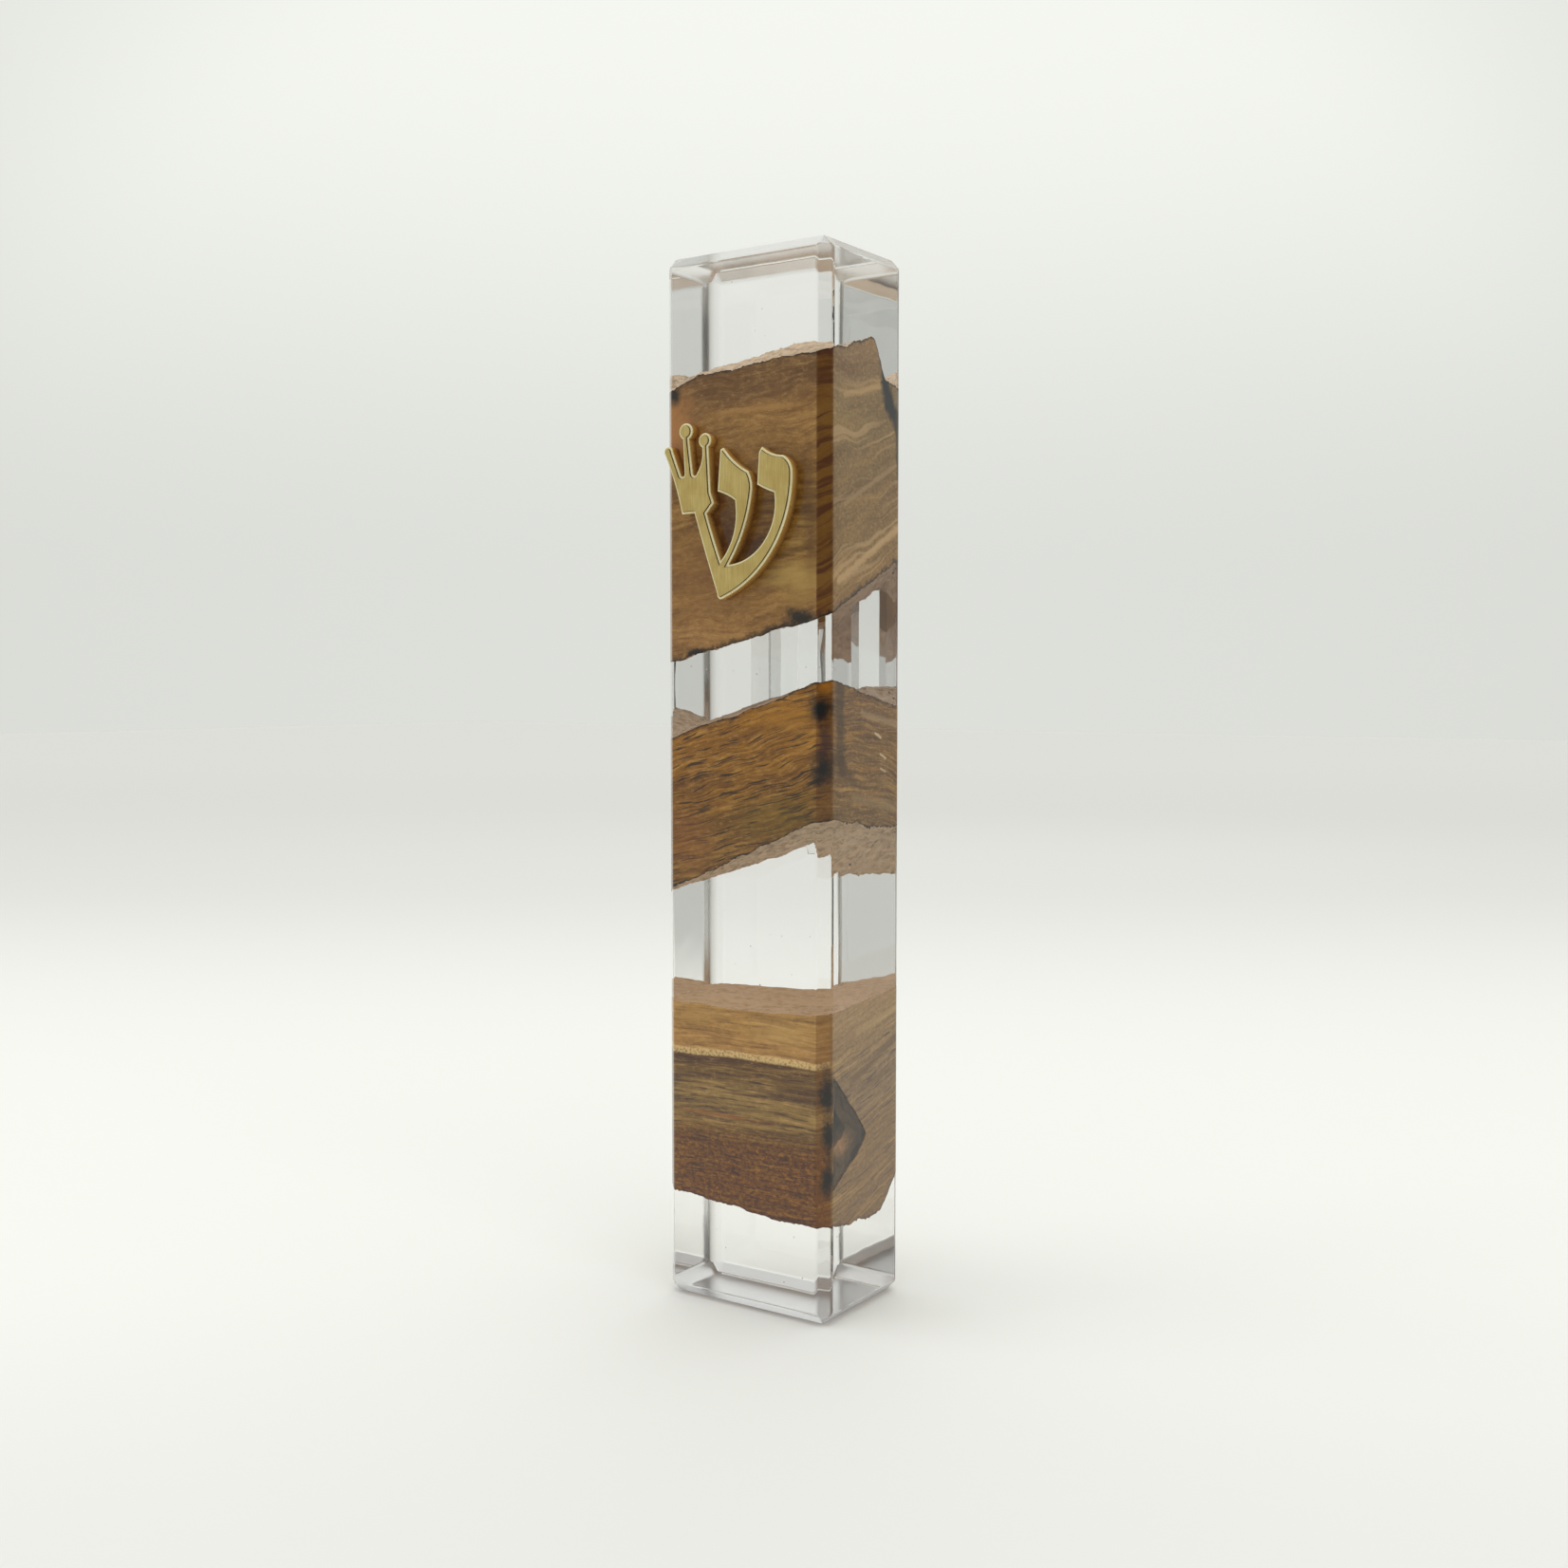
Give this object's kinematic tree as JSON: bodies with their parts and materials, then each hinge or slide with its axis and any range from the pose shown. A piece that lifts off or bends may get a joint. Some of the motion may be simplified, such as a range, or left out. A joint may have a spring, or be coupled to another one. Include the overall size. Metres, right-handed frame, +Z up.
{
  "type": "mezuzah case",
  "caption": "Upright clear cast bar with set-in wood blocks, a metal letter on its front and a covered scroll slot in its back.",
  "frame": {"origin": "centre of the base face, midway between the bar's front and back faces and between its sides", "axes": "+Z up along the bar, +Y out of the back towards the doorpost, +X to the right seen from the front"},
  "size_m": [0.0262, 0.022, 0.14],
  "materials": {
    "clear_resin": "clear cast epoxy, polished",
    "upper_wood": "polished brown hardwood with flowing grain",
    "middle_wood": "polished brown hardwood with dark pores",
    "lower_wood": "polished banded hardwood",
    "brass": "satin face, bright rim",
    "clear_acrylic": "clear sheet",
    "foam_tape": "white double-sided foam tape"
  },
  "bodies": {
    "case": {"top_resin": "clear_resin", "upper_window_resin": "clear_resin", "lower_window_resin": "clear_resin", "base_resin": "clear_resin", "upper_wood": "upper_wood", "middle_wood": "middle_wood", "lower_wood": "lower_wood", "shin_letter": "brass", "tape_lower_left": "foam_tape", "tape_lower_right": "foam_tape", "tape_upper_left": "foam_tape", "tape_upper_right": "foam_tape"},
    "cover": {"back_cover": "clear_acrylic"}
  },
  "joints": [
    {"name": "cover_lift", "type": "slide", "parent": "case", "child": "cover", "axis": [0, 1, 0], "range_m": [0, 0.03]}
  ]
}
